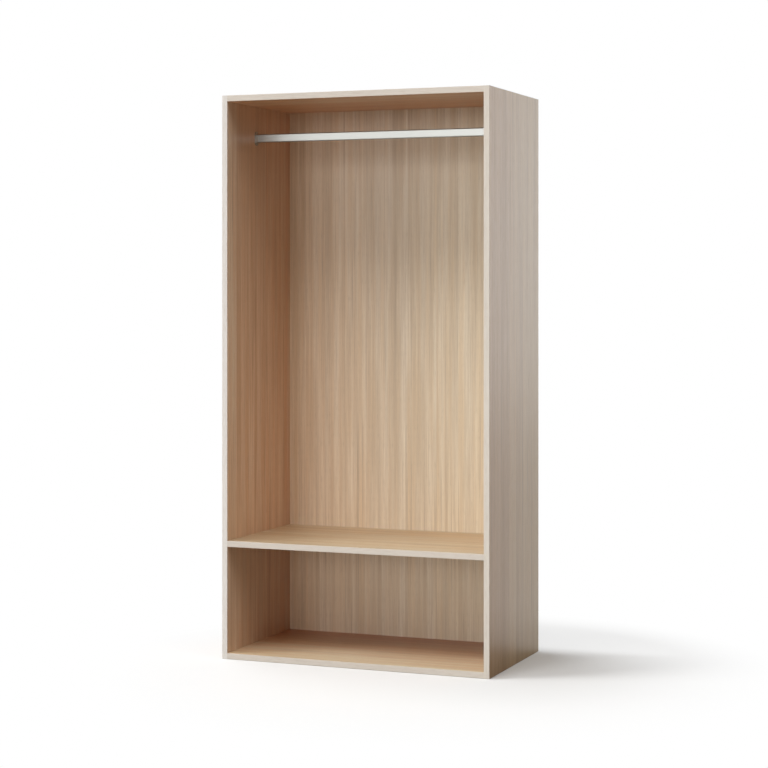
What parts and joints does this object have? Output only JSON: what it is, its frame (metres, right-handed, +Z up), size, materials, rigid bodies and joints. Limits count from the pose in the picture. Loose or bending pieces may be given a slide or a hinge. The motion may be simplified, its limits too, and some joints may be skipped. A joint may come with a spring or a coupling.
{
  "type": "open wardrobe",
  "caption": "Open wardrobe of wood-finish board with a set-in back panel, a fixed low shelf and a flat-sided clothes rail that lifts out of open-topped sockets.",
  "frame": {"origin": "centre of the footprint, on the floor that the glides stand on", "axes": "+X to the right seen from the open front, +Y to the back, +Z up"},
  "size_m": [1, 0.556, 2],
  "materials": {
    "wood_finish_board": "satin light oak",
    "edge_band": "satin pale oak",
    "rail_aluminium": "satin anodised",
    "socket_metal": "satin nickel",
    "zinc_cam": "bare die-cast zinc",
    "steel": "bright zinc plated",
    "beech_dowel": "raw beech",
    "cap_plastic": "matte, wood coloured",
    "glide_plastic": "matte dark"
  },
  "bodies": {
    "carcass": {"left_side_panel": "wood_finish_board", "right_side_panel": "wood_finish_board", "top_panel": "wood_finish_board", "bottom_panel": "wood_finish_board", "fixed_shelf": "wood_finish_board", "back_panel": "wood_finish_board", "left_side_front_band": "edge_band", "right_side_front_band": "edge_band", "left_side_rear_band": "edge_band", "right_side_rear_band": "edge_band", "left_side_top_band": "edge_band", "right_side_top_band": "edge_band", "top_panel_front_band": "edge_band", "top_panel_rear_band": "edge_band", "bottom_panel_front_band": "edge_band", "bottom_panel_rear_band": "edge_band", "shelf_front_band": "edge_band", "left_rail_socket": "socket_metal", "right_rail_socket": "socket_metal", "left_socket_screws": "steel", "right_socket_screws": "steel", "top_cam_locks": "zinc_cam", "shelf_cam_locks": "zinc_cam", "bottom_cam_locks": "zinc_cam", "top_cam_bolts": "steel", "shelf_cam_bolts": "steel", "bottom_cam_bolts": "steel", "top_dowels": "beech_dowel", "shelf_dowels": "beech_dowel", "bottom_dowels": "beech_dowel", "top_cam_caps": "cap_plastic", "shelf_cam_caps": "cap_plastic", "back_panel_screws": "steel", "floor_glides": "glide_plastic", "glide_nails": "steel"},
    "rail": {"clothes_rail": "rail_aluminium"}
  },
  "joints": [
    {"name": "rail_lift", "type": "slide", "parent": "carcass", "child": "rail", "axis": [0, 0, 1], "range_m": [0, 0.09]}
  ]
}
